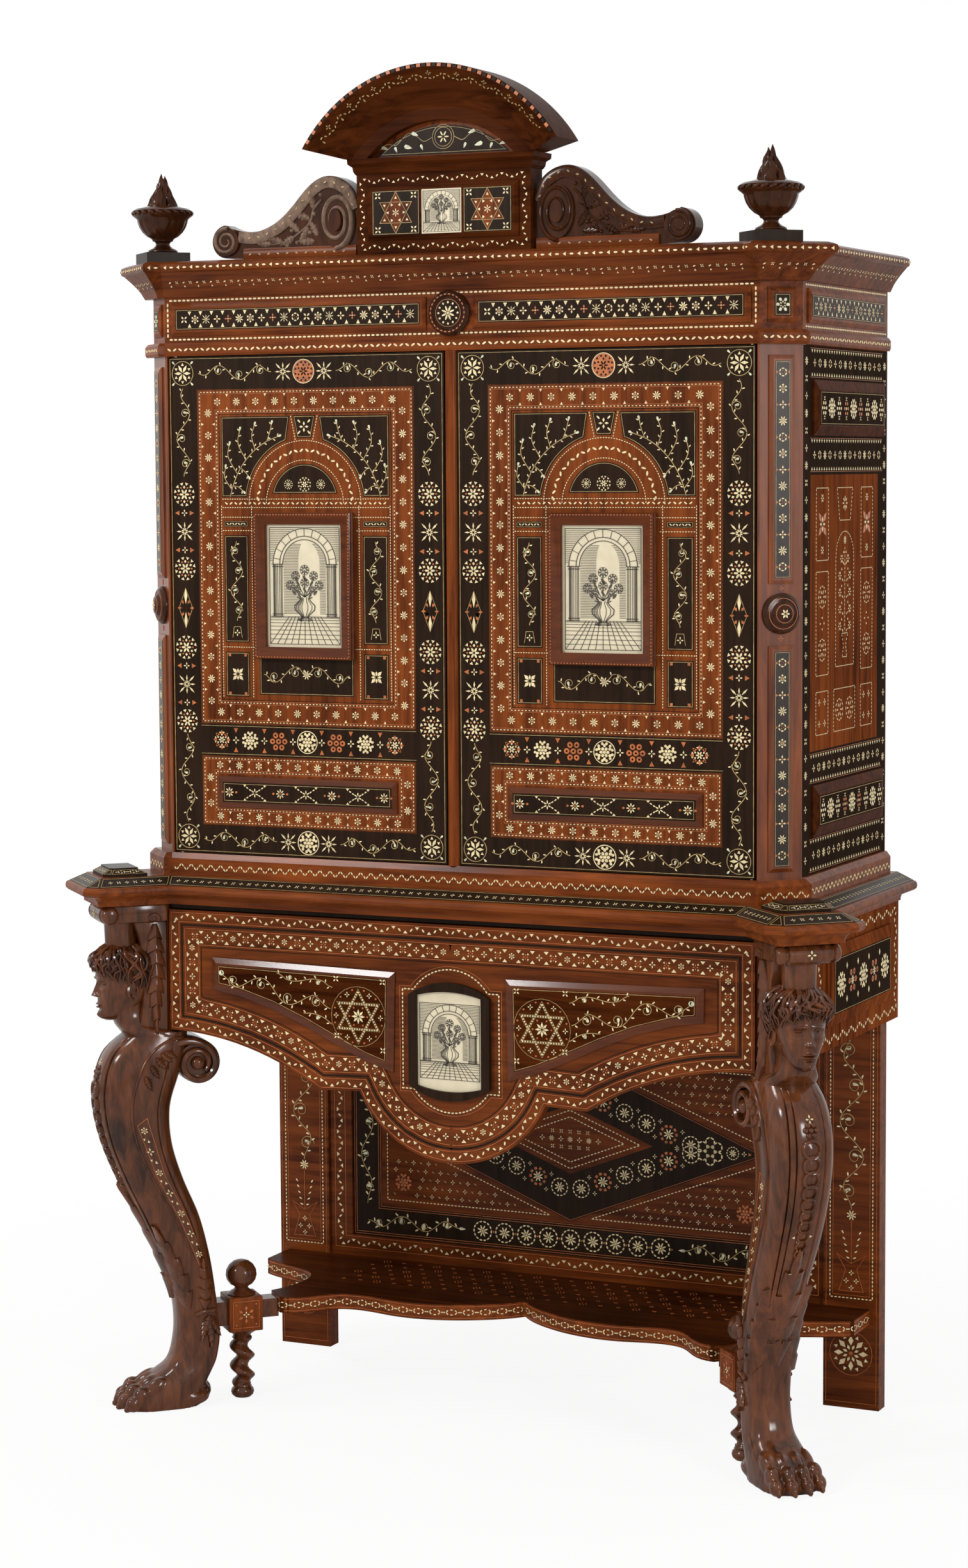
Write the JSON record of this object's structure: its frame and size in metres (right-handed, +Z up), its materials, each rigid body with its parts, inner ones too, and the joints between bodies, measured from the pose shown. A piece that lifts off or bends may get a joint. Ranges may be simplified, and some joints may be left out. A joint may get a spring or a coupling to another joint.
{
  "type": "cabinet on stand",
  "caption": "Tall inlaid cabinet with doors on a stand with carved diagonal front legs, shaped apron drawer, stretcher shelf, bracketed cornice with urns and an arched crest.",
  "frame": {"origin": "centre of the bounding box at floor level", "axes": "+Z up, front towards -Y, +X to the right as seen from the front"},
  "size_m": [1.4214, 0.63, 2.242],
  "materials": {
    "rosewood": "polished red-brown veneer",
    "ebonised_wood": "polished, stained near black",
    "carved_walnut": "carved, waxed",
    "plain_wood": "unpolished secondary timber",
    "bone": "engraved bone, smooth",
    "brass": "plain",
    "iron": "dark forged"
  },
  "bodies": {
    "cabinet": {"back_leg_left": "rosewood", "back_leg_right": "rosewood", "back_panel": "ebonised_wood", "back_panel_frame": "rosewood", "base_board": "rosewood", "cabinet_back": "plain_wood", "cabinet_sides": "ebonised_wood", "case_back_rail": "plain_wood", "case_corner_posts": "ebonised_wood", "case_sides": "rosewood", "case_top_rail": "ebonised_wood", "centre_mullion": "ebonised_wood", "corner_pedestals": "ebonised_wood", "corner_posts": "ebonised_wood", "cornice": "rosewood", "crest_block": "rosewood", "crest_cap": "rosewood", "crest_hood": "rosewood", "crest_plaque": "bone", "crest_scrolls": "carved_walnut", "crest_tympanum": "rosewood", "door_pivot_pins": "brass", "drawer_runners": "plain_wood", "frieze_boards": "rosewood", "frieze_panels": "ebonised_wood", "front_leg_left": "carved_walnut", "front_leg_right": "carved_walnut", "head_board": "ebonised_wood", "inner_shelves": "plain_wood", "leg_console_left": "carved_walnut", "leg_console_right": "carved_walnut", "pilaster_panels": "ebonised_wood", "shelf_cleats": "plain_wood", "side_raised_panels": "ebonised_wood", "stand_top": "rosewood", "stretcher_arms": "ebonised_wood", "stretcher_posts": "ebonised_wood", "stretcher_shelf": "rosewood", "turned_bosses": "carved_walnut", "urn_plinths": "ebonised_wood", "urns": "carved_walnut"},
    "drawer": {"drawer_back": "plain_wood", "drawer_bottom": "plain_wood", "drawer_front": "rosewood", "drawer_lock": "iron", "drawer_plaque": "bone", "drawer_plaque_frame": "ebonised_wood", "drawer_raised_panels": "ebonised_wood", "drawer_sides": "plain_wood"},
    "door_left": {"door_left": "ebonised_wood", "door_lock_left": "iron", "door_mouldings_left": "ebonised_wood", "door_plaque_left": "bone"},
    "door_right": {"door_lock_right": "iron", "door_mouldings_right": "ebonised_wood", "door_plaque_right": "bone", "door_right": "ebonised_wood"},
    "bolt_left": {"door_bolt_left": "iron"},
    "bolt_right": {"door_bolt_right": "iron"},
    "bolt_drawer": {"drawer_bolt": "iron"}
  },
  "joints": [
    {"name": "drawer_slide", "type": "slide", "parent": "cabinet", "child": "drawer", "axis": [0, -1, 0], "range_m": [0, 0.33]},
    {"name": "door_left_hinge", "type": "hinge", "parent": "cabinet", "child": "door_left", "pos_m": [-0.5134, -0.165, 0.9635], "axis": [0, 0, -1], "range_deg": [0, 95]},
    {"name": "door_right_hinge", "type": "hinge", "parent": "cabinet", "child": "door_right", "pos_m": [0.5134, -0.165, 0.9635], "axis": [0, 0, 1], "range_deg": [0, 95]},
    {"name": "bolt_left_slide", "type": "slide", "parent": "door_left", "child": "bolt_left", "axis": [1, 0, 0], "range_m": [0, 0.008]},
    {"name": "bolt_right_slide", "type": "slide", "parent": "door_right", "child": "bolt_right", "axis": [-1, 0, 0], "range_m": [0, 0.008]},
    {"name": "bolt_drawer_slide", "type": "slide", "parent": "drawer", "child": "bolt_drawer", "axis": [0, 0, 1], "range_m": [0, 0.008]}
  ]
}
